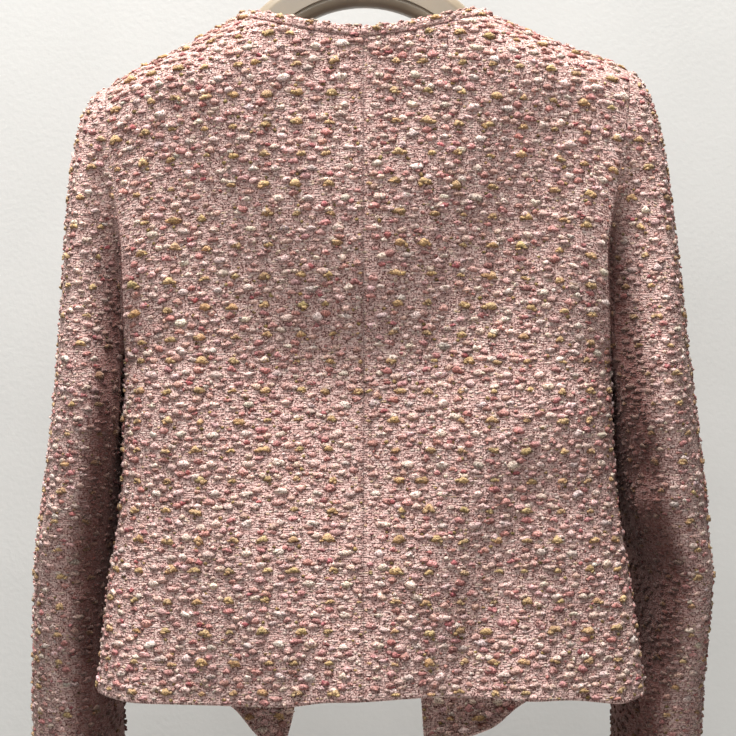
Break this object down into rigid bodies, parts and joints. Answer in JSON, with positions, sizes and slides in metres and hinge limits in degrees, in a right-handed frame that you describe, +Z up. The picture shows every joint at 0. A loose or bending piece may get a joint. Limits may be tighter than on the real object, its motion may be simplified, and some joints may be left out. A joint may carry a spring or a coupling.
{
  "type": "cropped tweed jacket on a hanger",
  "caption": "Collarless cropped jacket of nubby pink tweed with long sleeves and an open front, hanging from a thick arched hanger with a wire hook.",
  "frame": {"origin": "the point inside the top of the hanger's hook where a rail carries it", "axes": "+Z up; the jacket's front faces -Y and its back +Y; the wearer's left is +X"},
  "size_m": [0.514, 0.1971, 0.723],
  "materials": {
    "tweed": "matt nubby tweed of pale pink threads with rose, cream and gold slubs",
    "hanger_plastic": "smooth beige, softly glossy",
    "hook_steel": "bright steel wire"
  },
  "bodies": {
    "root": {"back_left": "tweed", "back_right": "tweed", "front_left": "tweed", "front_right": "tweed", "front_facing_left": "tweed", "front_facing_right": "tweed", "neck_binding": "tweed", "sleeve_left": "tweed", "sleeve_right": "tweed", "hanger_body": "hanger_plastic", "hanger_hook": "hook_steel"}
  },
  "joints": []
}
